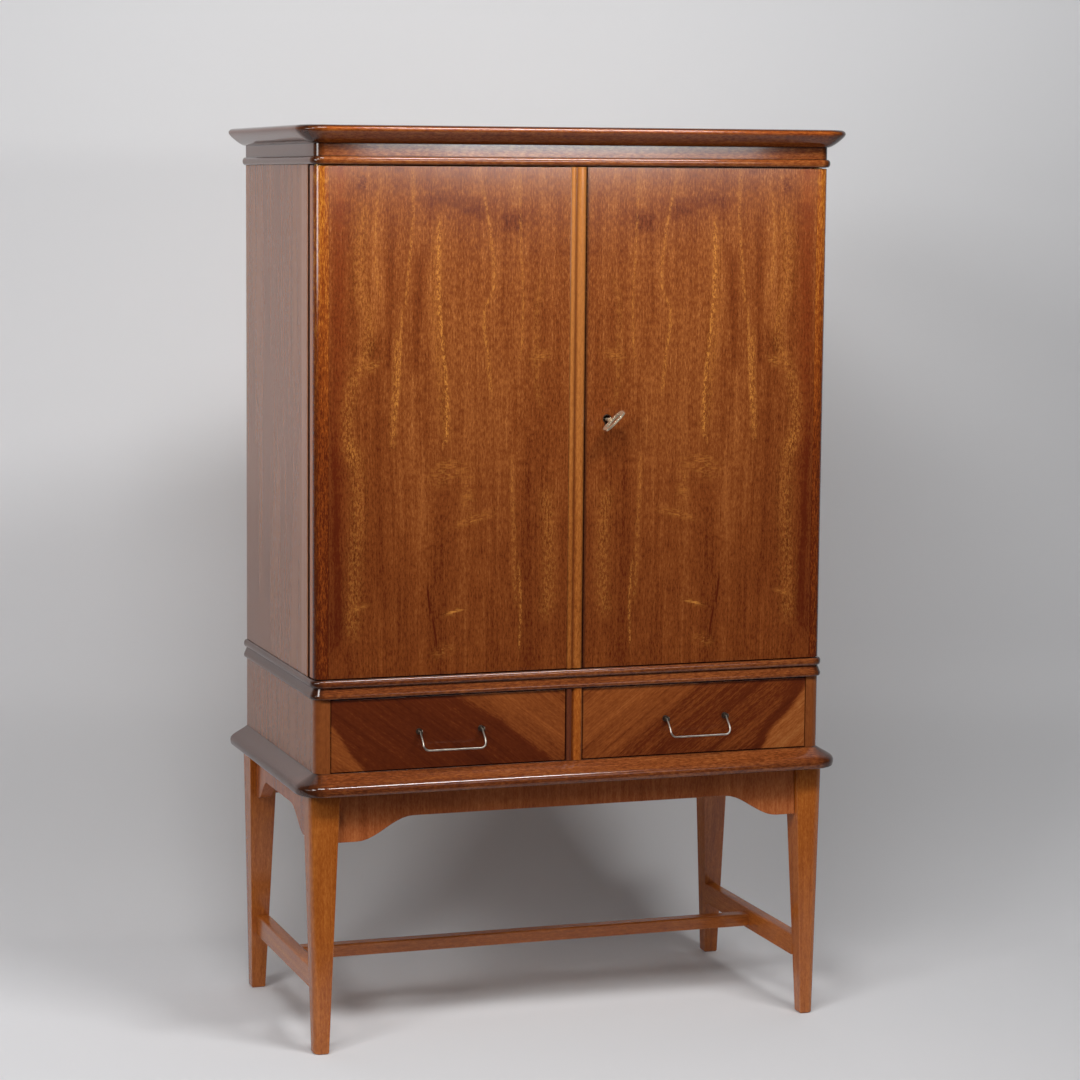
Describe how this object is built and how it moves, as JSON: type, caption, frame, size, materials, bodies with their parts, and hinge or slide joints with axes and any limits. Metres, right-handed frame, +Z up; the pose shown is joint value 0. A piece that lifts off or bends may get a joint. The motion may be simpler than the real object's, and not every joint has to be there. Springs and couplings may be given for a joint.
{
  "type": "bar cabinet",
  "caption": "Two-door bar cabinet over drawers on a tapered-leg stand, with a fold-out shelf and swing bracket in the right door.",
  "frame": {"origin": "on the floor, under the middle of the overall box of the closed cabinet with its key", "axes": "+Z up, -Y towards the front where the doors are, +X to the right of someone facing the front"},
  "size_m": [0.908, 0.484, 1.443],
  "materials": {
    "stand_wood": "satin lacquer, worn at the edges",
    "moulding_wood": "polished",
    "door_veneer": "polished ribbon-figured veneer",
    "drawer_veneer": "polished dark veneer",
    "side_veneer": "polished veneer",
    "inner_wood": "satin, pale",
    "nickel": "worn nickel plate",
    "brass": "satin"
  },
  "bodies": {
    "case": {"leg_front_left": "stand_wood", "leg_front_right": "stand_wood", "leg_rear_left": "stand_wood", "leg_rear_right": "stand_wood", "apron_front": "stand_wood", "apron_rear": "stand_wood", "apron_left": "stand_wood", "apron_right": "stand_wood", "stretcher_left": "stand_wood", "stretcher_right": "stand_wood", "stretcher_centre": "stand_wood", "base_moulding": "moulding_wood", "case_bottom": "inner_wood", "lower_side_left": "side_veneer", "lower_side_right": "side_veneer", "drawer_divider": "moulding_wood", "waist_moulding": "moulding_wood", "case_deck": "inner_wood", "upper_side_left": "side_veneer", "upper_side_right": "side_veneer", "frieze": "door_veneer", "case_top": "inner_wood", "cornice": "moulding_wood", "back_panel": "inner_wood", "partition": "inner_wood", "fixed_shelf_left": "inner_wood", "fixed_shelf_right": "inner_wood"},
    "door_left": {"door_left_panel": "door_veneer", "door_left_frame": "inner_wood", "meeting_strip": "moulding_wood", "pivot_pin_left_top": "brass", "pivot_pin_left_bottom": "brass"},
    "door_right": {"door_right_panel": "door_veneer", "door_right_frame": "inner_wood", "escutcheon": "nickel", "lock_case": "brass", "pivot_pin_right_top": "brass", "pivot_pin_right_bottom": "brass", "ledge_flap_left": "brass", "ledge_flap_right": "brass"},
    "shelf": {"fold_out_shelf": "door_veneer", "shelf_flap_left": "brass", "shelf_flap_right": "brass"},
    "bracket": {"shelf_bracket": "inner_wood"},
    "key": {"key": "nickel"},
    "bolt": {"lock_bolt": "nickel"},
    "top_bolt": {"flush_bolt_top": "brass"},
    "bottom_bolt": {"flush_bolt_bottom": "brass"},
    "drawer_left": {"drawer_left_front": "drawer_veneer", "drawer_left_box": "inner_wood", "drawer_left_bottom": "inner_wood", "drawer_left_pull_post_left": "nickel", "drawer_left_pull_post_right": "nickel"},
    "drawer_right": {"drawer_right_front": "drawer_veneer", "drawer_right_box": "inner_wood", "drawer_right_bottom": "inner_wood", "drawer_right_pull_post_left": "nickel", "drawer_right_pull_post_right": "nickel"},
    "bail_left": {"drawer_left_bail": "nickel"},
    "bail_right": {"drawer_right_bail": "nickel"}
  },
  "joints": [
    {"name": "door_left_swing", "type": "hinge", "parent": "case", "child": "door_left", "pos_m": [-0.414, -0.177, 0.988], "axis": [0, 0, -1], "range_deg": [0, 110]},
    {"name": "door_right_swing", "type": "hinge", "parent": "case", "child": "door_right", "pos_m": [0.414, -0.177, 0.988], "axis": [0, 0, 1], "range_deg": [0, 110]},
    {"name": "shelf_fold", "type": "hinge", "parent": "door_right", "child": "shelf", "pos_m": [0.235, -0.161, 0.8365], "axis": [-1, 0, 0], "range_deg": [0, 90]},
    {"name": "bracket_swing", "type": "hinge", "parent": "door_right", "child": "bracket", "pos_m": [0.16, -0.17, 0.765], "axis": [0, 0, 1], "range_deg": [0, 90]},
    {"name": "key_turn", "type": "hinge", "parent": "door_right", "child": "key", "pos_m": [0.05, -0.198, 0.988], "axis": [0, -1, 0], "range_deg": [0, 92]},
    {"name": "bolt_throw", "type": "slide", "parent": "door_right", "child": "bolt", "axis": [-1, 0, 0], "range_m": [0, 0.01]},
    {"name": "top_bolt_slide", "type": "slide", "parent": "door_left", "child": "top_bolt", "axis": [0, 0, 1], "range_m": [0, 0.012]},
    {"name": "bottom_bolt_slide", "type": "slide", "parent": "door_left", "child": "bottom_bolt", "axis": [0, 0, -1], "range_m": [0, 0.012]},
    {"name": "drawer_left_slide", "type": "slide", "parent": "case", "child": "drawer_left", "axis": [0, -1, 0], "range_m": [0, 0.3]},
    {"name": "drawer_right_slide", "type": "slide", "parent": "case", "child": "drawer_right", "axis": [0, -1, 0], "range_m": [0, 0.3]},
    {"name": "left_bail_swing", "type": "hinge", "parent": "drawer_left", "child": "bail_left", "pos_m": [-0.2065, -0.205, 0.506], "axis": [-1, 0, 0], "range_deg": [0, 60]},
    {"name": "right_bail_swing", "type": "hinge", "parent": "drawer_right", "child": "bail_right", "pos_m": [0.2065, -0.205, 0.506], "axis": [-1, 0, 0], "range_deg": [0, 60]}
  ],
  "couplings": [
    {"joint": "key_turn", "follows": "bolt_throw", "rad_per_m": 160}
  ]
}
